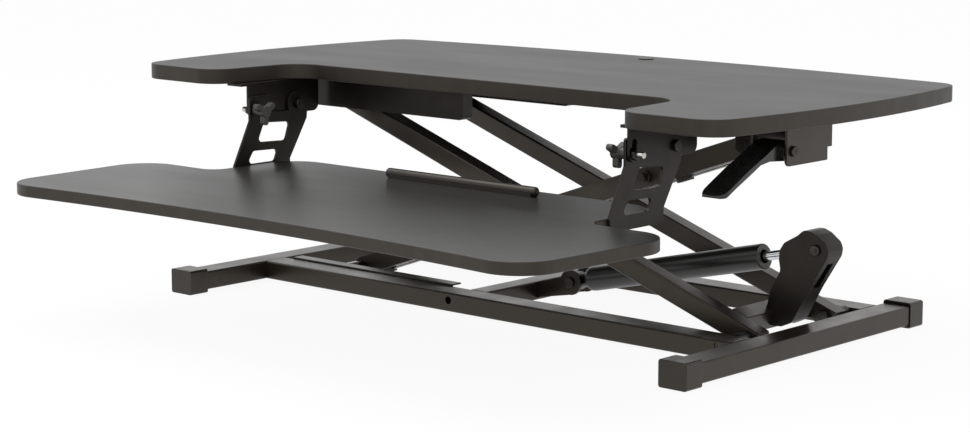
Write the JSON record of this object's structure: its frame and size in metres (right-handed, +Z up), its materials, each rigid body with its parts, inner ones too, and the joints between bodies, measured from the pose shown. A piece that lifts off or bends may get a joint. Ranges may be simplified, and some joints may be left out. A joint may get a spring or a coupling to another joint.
{
  "type": "standing desk converter",
  "caption": "Two-tier sit-stand desk riser: worktop with keyboard cut-out and hung tray on a gas-sprung X lift over a tube base.",
  "frame": {"origin": "middle of the bounding box in X and Y, on the desk surface under the end caps", "axes": "+X to the user's right, +Y away from the user, +Z up"},
  "size_m": [0.808, 0.6427, 0.2499],
  "materials": {
    "painted_steel": "satin black powder coat",
    "laminate_board": "black satin laminate",
    "black_plastic": "moulded black plastic",
    "knob_plastic": "moulded dark grey plastic",
    "cylinder_paint": "semi-gloss black paint",
    "chromed_rod": "polished hard chrome",
    "steel_cable": "bare steel cable",
    "black_steel_fasteners": "dark zinc"
  },
  "bodies": {
    "base": {"base_side_tube_left": "painted_steel", "base_side_tube_right": "painted_steel", "base_front_cross_tube": "painted_steel", "base_rear_cross_tube": "painted_steel", "base_centre_tube": "painted_steel", "end_cap_front_left": "black_plastic", "end_cap_front_right": "black_plastic", "end_cap_rear_left": "black_plastic", "end_cap_rear_right": "black_plastic", "lower_rail_front": "painted_steel", "lower_rail_rear": "painted_steel", "outer_pivot_bolt_front": "black_steel_fasteners", "outer_pivot_bolt_rear": "black_steel_fasteners", "spring_base_bracket": "painted_steel", "spring_base_pin": "black_steel_fasteners"},
    "outer_arms": {"outer_arm_front": "painted_steel", "outer_arm_rear": "painted_steel", "outer_arm_cross_tube": "painted_steel", "spring_lever_bracket": "painted_steel", "spring_lever_pin": "black_steel_fasteners", "centre_pivot_shaft": "black_steel_fasteners"},
    "inner_arm": {"inner_arm": "painted_steel", "upper_pivot_shaft": "black_steel_fasteners", "lower_slide_shaft": "black_steel_fasteners", "inner_arm_stud": "black_plastic", "release_cable": "steel_cable", "cable_clip_upper": "black_plastic", "cable_clip_lower": "black_plastic"},
    "lower_slides": {"lower_slide_front": "black_plastic", "lower_slide_rear": "black_plastic"},
    "upper_slides": {"upper_slide_front": "black_plastic", "upper_slide_rear": "black_plastic"},
    "spring_cylinder": {"gas_spring_cylinder": "cylinder_paint"},
    "spring_rod": {"gas_spring_rod": "chromed_rod"},
    "worktop": {"worktop_board": "laminate_board", "grommet_cap": "black_plastic", "upper_rail_front": "painted_steel", "upper_rail_rear": "painted_steel", "upper_pivot_bracket_front": "painted_steel", "upper_pivot_bracket_rear": "painted_steel", "lever_bracket": "painted_steel", "lever_pin": "black_steel_fasteners", "lever_spring": "black_steel_fasteners", "tray_hanger_left": "painted_steel", "tray_hanger_right": "painted_steel", "tray_pivot_bolt_left": "black_steel_fasteners", "tray_pivot_bolt_right": "black_steel_fasteners"},
    "release_handle": {"release_lever": "black_plastic"},
    "tray": {"tray_board": "laminate_board", "tray_arm_left": "painted_steel", "tray_arm_right": "painted_steel", "tray_stop_bar": "black_plastic"},
    "clamp_left": {"clamp_knob_left": "knob_plastic"},
    "clamp_right": {"clamp_knob_right": "knob_plastic"}
  },
  "joints": [
    {"name": "lift", "type": "hinge", "parent": "base", "child": "outer_arms", "pos_m": [0.3024, 0.13442, 0.018], "axis": [0, 1, 0], "range_deg": [-10.8, 27.8]},
    {"name": "centre_pivot", "type": "hinge", "parent": "outer_arms", "child": "inner_arm", "pos_m": [0.03168, 0.13442, 0.11238], "axis": [0, 1, 0], "range_deg": [-55.6, 21.6]},
    {"name": "upper_pivot", "type": "hinge", "parent": "inner_arm", "child": "worktop", "pos_m": [0.3024, 0.13442, 0.20676], "axis": [0, 1, 0], "range_deg": [-10.8, 27.8]},
    {"name": "lower_slide_turn", "type": "hinge", "parent": "inner_arm", "child": "lower_slides", "pos_m": [-0.23904, 0.13442, 0.018], "axis": [0, 1, 0], "range_deg": [-10.8, 27.8]},
    {"name": "upper_slide_turn", "type": "hinge", "parent": "outer_arms", "child": "upper_slides", "pos_m": [-0.23904, 0.13442, 0.20676], "axis": [0, 1, 0], "range_deg": [-27.8, 10.8]},
    {"name": "spring_base_pivot", "type": "hinge", "parent": "base", "child": "spring_cylinder", "pos_m": [0.0304, 0.13442, 0.0283], "axis": [0, 1, 0], "range_deg": [-2.07, 5.17]},
    {"name": "spring_rod_pivot", "type": "hinge", "parent": "outer_arms", "child": "spring_rod", "pos_m": [0.3367, 0.13442, 0.0986], "axis": [0, 1, 0], "range_deg": [-22.83, 8.93]},
    {"name": "tray_tilt", "type": "hinge", "parent": "worktop", "child": "tray", "pos_m": [0, -0.00008, 0.20566], "axis": [-1, 0, 0], "range_deg": [0, 10]},
    {"name": "clamp_turn_left", "type": "hinge", "parent": "tray", "child": "clamp_left", "pos_m": [-0.2533, -0.06208, 0.20346], "axis": [-1, 0, 0], "range_deg": [-180, 180]},
    {"name": "clamp_turn_right", "type": "hinge", "parent": "tray", "child": "clamp_right", "pos_m": [0.2533, -0.06208, 0.20346], "axis": [1, 0, 0], "range_deg": [-180, 180]},
    {"name": "release_pull", "type": "hinge", "parent": "worktop", "child": "release_handle", "pos_m": [0.364, 0.01322, 0.20996], "axis": [-1, 0, 0], "range_deg": [0, 14], "stiffness_Nm_per_rad": 1.2, "springref_deg": -5.73}
  ],
  "couplings": [
    {"joint": "centre_pivot", "follows": "lift", "ratio": -2},
    {"joint": "upper_pivot", "follows": "lift", "ratio": 1},
    {"joint": "lower_slide_turn", "follows": "lift", "ratio": 1},
    {"joint": "upper_slide_turn", "follows": "lift", "ratio": -1},
    {"joint": "spring_base_pivot", "follows": "lift", "ratio": 0.1825},
    {"joint": "spring_rod_pivot", "follows": "lift", "ratio": -0.8175}
  ]
}
